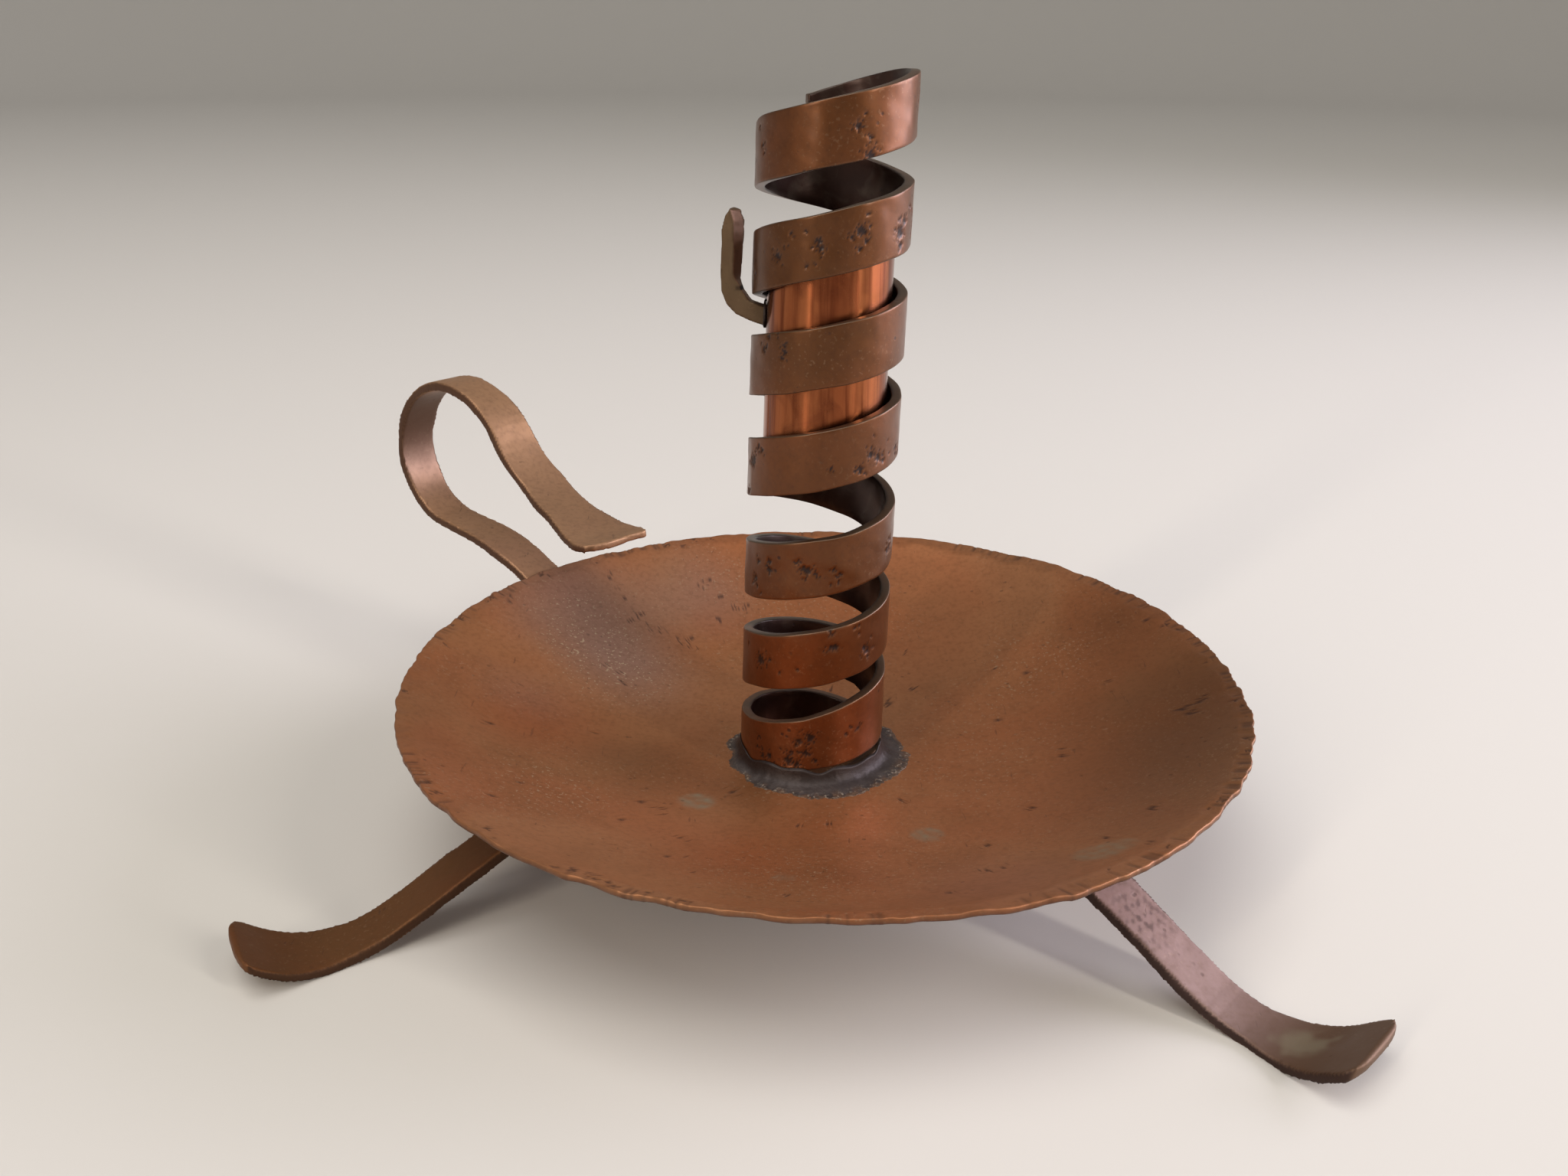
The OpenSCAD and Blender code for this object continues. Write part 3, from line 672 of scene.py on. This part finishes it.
class CANDLESTICK_OT_foot_solder(bpy.types.Operator):
    """Build the pool of solder that holds the spiral's foot, with its fillet and its crumbly edge"""
    bl_idname = "candlestick.foot_solder"
    bl_label = "Foot solder"

    around = 360
    # Share of the way from the strip to the edge, and share of the fillet's height
    profile = [(0, -0.02), (0, 0.5), (0, 1), (0.03, 0.82), (0.06, 0.66), (0.1, 0.52), (0.15, 0.4), (0.21, 0.3),
               (0.29, 0.22), (0.38, 0.165), (0.48, 0.12), (0.58, 0.09), (0.67, 0.066), (0.75, 0.05), (0.82, 0.036),
               (0.88, 0.024), (0.93, 0.014), (0.97, 0.004), (1, -0.02)]

    def execute(self, context):
        sizes = context.scene.candlestick_sizes
        dish = dish_axes()
        turn, low, top, inner_r, outer_r = strip_edges()
        foot = dish.into(spiral_axes().out([[0, 0, low.min()]]))[0]
        angle = np.linspace(0, 2 * math.pi, self.around, endpoint=False)
        circle = np.stack([np.cos(angle), np.sin(angle)], 1)
        ring = circle * sizes.pool_r
        edge = (sizes.pool_r + 1.8 * MM * np.cos(angle + math.radians(35)) + waves(ring, 8 * MM, 61) * 0.35 * MM
                + waves(ring, 2.2 * MM, 62) * 0.18 * MM)
        wall = outer_r + 0.06 * MM
        fillet = sizes.fillet_h * (1 + 0.1 * waves(ring, 9 * MM, 63))
        rows, wear, side = [], [], []
        for place, height in self.profile:
            radius = wall + (edge - wall) * place
            rows.append(np.column_stack([circle * radius[:, None] + foot[:2],
                                         floor_height(sizes, radius) + fillet * height]))
            wear.append(np.full(self.around, smooth(np.array(place), 0.45, 0.95)))
            # Painted shade, darkest in the corner against the strip
            side.append(np.full(self.around, 0.95 * (1 - smooth(np.array(place), 0.12, 0.6))))
        points = np.concatenate(rows)
        wear = np.concatenate(wear)
        lumps = waves(points, 3 * MM, 64) * 0.04 * MM + waves(points, 1 * MM, 65) * 0.04 * MM * wear
        lumps[:self.around * 2] = 0
        lumps[-self.around:] = 0
        points[:, 2] += lumps
        faces = [face[::-1] for face in rings_to_faces(len(self.profile), self.around, closed=True)]
        make_piece("spiral_foot_pool", dish.out(points), faces, "stand", "spiral_foot_solder", "solder",
                   lead_solder("lead_tin_solder_pool"), wear=wear, side=np.concatenate(side))
        return {"FINISHED"}


def hammered_bar(name, node, body, slot, material, cell, across, swell=0.1, end=None, edges=0.85, **marks):
    """A bent bar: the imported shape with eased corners, hammer marks, a wavy outline and edges of their own
    colour. Its beaten end is thinned where end is (place, way, thickness): a point, a direction and a size.
    Each mark is a function of the points and normals"""
    sizes = bpy.context.scene.candlestick_sizes
    piece = worked_copy(name, node, cell, 3)
    points, normals = mesh_points(piece.data)
    seed = sum(map(ord, name))
    on_side = np.abs(normals @ across)
    flat = 1 - smooth(on_side, 0.4, 0.8)
    dents = waves(points, 11 * MM, seed) * 0.8 + waves(points, 4 * MM, seed + 1) * 0.2
    outline = waves(points, 13 * MM, seed + 2) * 0.14 * MM + waves(points, 5 * MM, seed + 3) * 0.04 * MM
    move = swell * MM + dents * sizes.hammer_depth * flat + outline * (1 - flat)
    if end is not None:
        place, way, thickness = end
        near = smooth((points - place) @ way, -16 * MM, -1 * MM)
        under = smooth(-normals[:, 2], 0.1, 0.6)
        move -= near * under * (thickness - sizes.bar_end_t)
    found = {mark: np.clip(rule(points, normals), 0, 1) for mark, rule in marks.items()}
    points += normals * move[:, None]
    if slot == "patinated_copper":
        points[:, 2] = np.maximum(points[:, 2], 0)
    piece.data.vertices.foreach_set("co", points.ravel())
    return dress(piece, body, node, slot, material, wear=smooth(on_side, 0.55, 0.85) * edges, **found)


class CANDLESTICK_OT_feet(bpy.types.Operator):
    """Build the three bent strip feet"""
    bl_idname = "candlestick.feet"
    bl_label = "Feet"

    # Colours of each foot: main, warm, dark and edge. The front-right foot's pinkish main and warm colours paint a
    # window's reflection on its top, and the front-left foot's dark edge is painted shade
    finishes = {
        "leg_front_left": ("foot_bar_front_left", "#6a4424", "#754023", "#563a1e", "#3a2313"),
        "leg_front_right": ("foot_bar_front_right", "#88706a", "#80625a", "#664d3b", "#2f1d1a"),
        "leg_back": ("foot_bar_back", "#7d5640", "#84492f", "#5b402c", "#3b241c"),
    }

    def execute(self, context):
        for node, (name, main, warm, dark, edge) in self.finishes.items():
            material = patinated_copper("patinated_copper_" + name, hex_colour(main), hex_colour(warm),
                                        hex_colour(dark), hex_colour(edge), roughness=0.54, dust=0.1, pits=0.3)
            axes = bar_axes(node)
            reach = axes.into(node_points(node))[:, 0].max()
            end = (axes.out([[reach, 0, 0]])[0], axes.rows[0], 2 * MM)
            marks = {}
            if node == "leg_front_right":
                marks = self.worn_marks(axes)
            hammered_bar(name, node, "stand", "patinated_copper", material, 0.42 * MM, axes.rows[1], end=end,
                         **marks)
        return {"FINISHED"}

    def worn_marks(self, axes):
        """The right foot: brown towards its end, a pale patch there, and corroded specks by the dish"""
        def deep(points, normals):
            return smooth(axes.into(points)[:, 0], 93 * MM, 116 * MM)

        def spot(points, normals):
            ragged = axes.into(points) + waves(points, 3 * MM, 73)[:, None] * 0.5 * MM
            return stain(ragged, [(111.5, 0, 5.5, 1)], 0.7)

        def pit(points, normals):
            near = stain(axes.into(points), [(79, 0, 10, 1)])
            return near * smooth(waves(points, 1.6 * MM, 72), -0.2, 1.6) * 0.5
        return {"deep": deep, "spot": spot, "pit": pit}


class CANDLESTICK_OT_handle(bpy.types.Operator):
    """Build the looped strip handle with its flared end"""
    bl_idname = "candlestick.handle"
    bl_label = "Handle"

    def execute(self, context):
        material = patinated_copper("patinated_copper_handle", hex_colour("#a57e5d"), hex_colour("#9a735b"),
                                    hex_colour("#5a4130"), hex_colour("#43271b"), roughness=0.48,
                                    dust=0.1, pits=0.3)
        axes = bar_axes("handle")
        local = axes.into(node_points("handle"))
        tip = local[:, 0].min()
        end = (axes.out([[tip, 0, 0]])[0], -axes.rows[0], 2 * MM)
        top = local[:, 2].max()

        def inward(points, normals):
            """The inner face of the rise, which faces back to the dish"""
            return smooth(-(normals @ axes.rows[0]), 0.2, 0.7) * smooth(axes.into(points)[:, 0], 118 * MM, 124 * MM)

        # A painted sheen, lilac, half-way up the rise's inner face, where a window's reflection fell
        def lilac(points, normals):
            height = (points[:, 2] - top) / MM
            return inward(points, normals) * np.exp(-((height + 24) / 7) ** 2) * 0.35

        # Painted shade: the rise's inner face darkens towards the top, which also dims a lamp's highlight there
        def deep(points, normals):
            return inward(points, normals) * smooth(points[:, 2], top - 40 * MM, top - 14 * MM) * 0.95

        hammered_bar("handle_bar", "handle", "stand", "patinated_copper", material, 0.4 * MM, axes.rows[1],
                     end=end, lilac=lilac, deep=deep)
        return {"FINISHED"}


class CANDLESTICK_OT_beads(bpy.types.Operator):
    """Build the lumpy solder beads under the dish and the collar on the lever's root"""
    bl_idname = "candlestick.beads"
    bl_label = "Solder beads"

    # Each bead: piece name, body, cell size in millimetres and share of painted shade
    beads = {
        "leg_solder_front_left": ("foot_bead_front_left", "stand", 0.3, 0.1),
        "leg_solder_front_right": ("foot_bead_front_right", "stand", 0.3, 0.1),
        "leg_solder_back": ("foot_bead_back", "stand", 0.3, 0.1),
        "handle_solder": ("handle_bead", "stand", 0.3, 0.1),
        "lever_solder": ("lever_collar", "cup", 0.1, 0.85),
    }

    def execute(self, context):
        material = lead_solder("lead_tin_solder_beads", 0.4)
        for node, (name, body, cell, bead_shade) in self.beads.items():
            piece = worked_copy(name, node, cell * MM, 3)
            points, normals = mesh_points(piece.data)
            lumps = waves(points, 2.5 * MM, 81) * cell * 0.3 * MM
            points += normals * lumps[:, None]
            piece.data.vertices.foreach_set("co", points.ravel())
            dress(piece, body, node, "solder", material, wear=np.full(len(points), 0.4),
                  side=np.full(len(points), bead_shade))
        return {"FINISHED"}


class CANDLESTICK_OT_cup(bpy.types.Operator):
    """Build the bright candle cup: a tube with a rolled lip, and the disc that closes it"""
    bl_idname = "candlestick.cup"
    bl_label = "Candle cup"

    around = 240
    rows_along = 44

    def lathe(self, name, profile, node, body, material, inner_r):
        """A turned piece from (radius, height) places, closed round the profile"""
        angle = np.linspace(0, 2 * math.pi, self.around, endpoint=False)
        rows, side_rows = [], []
        for radius, height in profile:
            wobble = waves(np.column_stack([np.cos(angle), np.sin(angle), np.full(self.around, height * 40)]),
                           1.5, 91) * 0.03 * MM
            reach = radius + wobble if radius > 0 else np.zeros(self.around)
            rows.append(np.column_stack([np.cos(angle) * reach, np.sin(angle) * reach,
                                         np.full(self.around, height)]))
            # The bore's rows take painted shade
            side_rows.append(np.full(self.around, 0.8 if 0 < radius < inner_r + 0.1 * MM else 0))
        points = np.concatenate(rows)
        faces = rings_to_faces(len(profile), self.around, closed=True)
        make_piece(name, spiral_axes().out(points), faces, body, node, "polished_copper", material,
                   side=np.concatenate(side_rows))

    def execute(self, context):
        cup = MOUNTS["candle_cup"]["dims"]
        bore_r = cup["r_mm"] * MM
        half = cup["length_mm"] * MM / 2
        local = spiral_axes().into(node_points("cup_tube"))
        outer_r = np.hypot(local[:, 0], local[:, 1]).max()
        middle_r, lip = (bore_r + outer_r) / 2, (outer_r - bore_r) / 2
        heights = np.linspace(-half + lip, half - lip, self.rows_along)
        bow = [math.radians(a) for a in (30, 60, 90, 120, 150)]
        profile = [(outer_r, z) for z in heights]
        profile += [(middle_r + lip * math.cos(a), half - lip + lip * math.sin(a)) for a in bow]
        profile += [(bore_r, z) for z in heights[::-1]]
        profile += [(middle_r - lip * math.cos(a), -half + lip - lip * math.sin(a)) for a in bow]
        material = polished_copper()
        self.lathe("cup_tube_drawn", profile, "cup_tube", "cup", material, bore_r)

        disc = spiral_axes().into(node_points("cup_floor"))
        low, high = disc[:, 2].min(), disc[:, 2].max()
        edge = (high - low) / 2
        steps = np.linspace(0.2, outer_r / MM - edge / MM, 12) * MM
        profile = [(r, low) for r in steps]
        profile += [(outer_r - edge + edge * math.cos(a), (low + high) / 2 + edge * math.sin(a))
                    for a in np.radians([-60, -30, 0, 30, 60])]
        profile += [(r, high) for r in steps[::-1]]
        self.lathe("cup_floor_disc", profile, "cup_floor", "cup_carriage", material, 0)
        return {"FINISHED"}


class CANDLESTICK_OT_lever(bpy.types.Operator):
    """Build the forged thumb lever with its upright leaf, and the forging crack in its corner"""
    bl_idname = "candlestick.lever"
    bl_label = "Thumb lever"

    def execute(self, context):
        material = patinated_copper("forged_copper_lever", hex_colour("#665038"), hex_colour("#86634f"),
                                    hex_colour("#483726"), hex_colour("#5c4933"), metallic=0.5, roughness=0.42,
                                    dust=0.1, pits=0.3)
        spiral = spiral_axes()
        local = spiral.into(node_points("thumb_lever"))
        middle = local.mean(0)
        lever = Axes(spiral.out([[0, 0, local[:, 2].min()]])[0],
                     spiral.out([[middle[0], middle[1], 0]])[0] - spiral.origin, spiral.rows[2])
        corner = np.array([17.6, 1.3, 6.9]) * MM

        def pit(points, normals):
            away = np.abs(lever.into(points) - corner) / MM
            return 1 - smooth(np.maximum(away[:, 0] * 0.9, away[:, 2] * 1.6), 0.3, 0.9)

        def red(points, normals):
            return smooth(-(normals @ lever.rows[0]), 0.4, 0.8)

        piece = hammered_bar("thumb_lever_bar", "thumb_lever", "cup", "forged_copper", material, 0.17 * MM,
                             lever.rows[1], swell=0.12, edges=0.5, pit=pit, red=red)
        # The leaf's inner face slants, so it is seen beside the broad face
        points = lever.into(mesh_points(piece.data)[0])
        leaf = smooth(points[:, 2], 7 * MM, 10 * MM)
        middle = points[points[:, 2] > 10 * MM, 0].mean()
        inner = leaf * (1 - smooth(points[:, 0], middle - 1.2 * MM, middle + 0.6 * MM))
        front = -np.sign(lever.rows[1][1])
        points[:, 0] += inner * (0.45 * front * points[:, 1] + 0.35 * MM)
        piece.data.vertices.foreach_set("co", lever.out(points).ravel())
        return {"FINISHED"}


def soft_lamp(name, place, aim, width, height, power, colour, spread=180):
    """A softbox at a place, turned to its aim. A narrower spread, in degrees, keeps it off the floor below it"""
    lamp = bpy.data.lights.new(name, "AREA")
    lamp.shape = "RECTANGLE"
    lamp.size, lamp.size_y = width, height
    lamp.energy = power
    lamp.color = colour
    lamp.spread = math.radians(spread)
    holder = bpy.data.objects.new(name, lamp)
    bpy.context.scene.collection.objects.link(holder)
    holder.location = place
    way = np.array(aim) - np.array(place)
    holder.rotation_euler = (math.acos(-way[2] / np.linalg.norm(way)), 0, math.atan2(way[1], way[0]) - math.pi / 2)
    return holder


class CANDLESTICK_OT_stage(bpy.types.Operator):
    """Build the pale floor and backdrop, the soft lamps and the camera"""
    bl_idname = "candlestick.stage"
    bl_label = "Studio"

    def execute(self, context):
        scene = context.scene
        colours = scene.candlestick_colours
        material, tree, output, place = new_material("studio_paper")
        shader = add(tree, "ShaderNodeBsdfPrincipled", {"Base Color": rgba(colours.floor), "Roughness": 0.9})
        tree.links.new(shader.outputs["BSDF"], output.inputs["Surface"])
        # A round floor that bends up into a wall on all sides, so every side view is pale
        reach, bend, high, around = 3.2, 1.0, 3.0, 96
        line = [(reach * share, 0) for share in (0.1, 0.25, 0.45)]
        line += [(reach - bend + bend * math.sin(a), bend - bend * math.cos(a)) for a in np.radians(range(0, 91, 6))]
        line += [(reach, high)]
        turn = np.linspace(0, 2 * math.pi, around, endpoint=False)
        points = [(r * math.cos(a), r * math.sin(a), z) for r, z in line for a in turn] + [(0, 0, 0)]
        faces = rings_to_faces(len(line), around)
        faces += [(len(points) - 1, k, (k + 1) % around) for k in range(around)]
        mesh = bpy.data.meshes.new("backdrop")
        mesh.from_pydata(points, [], faces)
        mesh.shade_smooth()
        mesh.materials.append(material)
        backdrop = bpy.data.objects.new("backdrop", mesh)
        scene.collection.objects.link(backdrop)

        world = bpy.data.worlds.new("studio_air")
        world.use_nodes = True
        background = world.node_tree.nodes["Background"]
        background.inputs["Color"].default_value = rgba(hex_colour("#e6e8ea"))
        background.inputs["Strength"].default_value = 0.28
        scene.world = world
        scene.view_settings.view_transform = "Standard"

        middle = (0, 0, 0.07)
        soft_lamp("strip_left", (-1.12, -1.47, 1.0), middle, 0.12, 1.4, 4.1, hex_colour("#fff2e0"), 100)
        soft_lamp("strip_right", (1.47, -1.12, 1.0), middle, 0.15, 1.4, 5.4, hex_colour("#fff8ee"), 100)
        soft_lamp("window_right", (1.3, 0.2, 0.45), middle, 1.1, 0.85, 8, hex_colour("#f3efff"), 100)
        soft_lamp("top", (-0.45, -0.65, 2.4), middle, 1.9, 1.9, 38, hex_colour("#fffaf4"))

        lens = bpy.data.cameras.new("camera")
        lens.sensor_width = 36
        lens.lens = 33.84
        camera = bpy.data.objects.new("camera", lens)
        scene.collection.objects.link(camera)
        x, y = foot_centre()
        camera.location = (x - 8.25 * MM, y - 281.22 * MM, RIM_HEIGHT + 135.92 * MM)
        camera.rotation_euler = [math.radians(turn) for turn in (67.54, -0.33, 0.14)]
        scene.camera = camera
        return {"FINISHED"}


class CANDLESTICK_PT_sidebar(bpy.types.Panel):
    """Sizes, colours and buttons of the candlestick"""
    bl_label = "Pigtail Candlestick"
    bl_space_type = "VIEW_3D"
    bl_region_type = "UI"
    bl_category = "Candlestick"

    def draw(self, context):
        for group in (context.scene.candlestick_sizes, context.scene.candlestick_colours):
            box = self.layout.box()
            for key in group.__annotations__:
                box.prop(group, key)
        for step in STEPS:
            self.layout.operator(step.bl_idname)


STEPS = (CANDLESTICK_OT_stage, CANDLESTICK_OT_dish, CANDLESTICK_OT_spiral, CANDLESTICK_OT_foot_solder,
         CANDLESTICK_OT_feet, CANDLESTICK_OT_handle, CANDLESTICK_OT_beads, CANDLESTICK_OT_cup,
         CANDLESTICK_OT_lever)
CLASSES = (CandlestickSizes, CandlestickColours, *STEPS, CANDLESTICK_PT_sidebar)


def register():
    for kind in CLASSES:
        bpy.utils.register_class(kind)
    bpy.types.Scene.candlestick_sizes = PointerProperty(type=CandlestickSizes)
    bpy.types.Scene.candlestick_colours = PointerProperty(type=CandlestickColours)


def unregister():
    del bpy.types.Scene.candlestick_colours
    del bpy.types.Scene.candlestick_sizes
    for kind in reversed(CLASSES):
        bpy.utils.unregister_class(kind)


def main():
    """Build the candlestick and its studio"""
    register()
    for step in STEPS:
        group, name = step.bl_idname.split(".")
        getattr(getattr(bpy.ops, group), name)()
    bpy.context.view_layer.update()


if __name__ == "__main__":
    main()
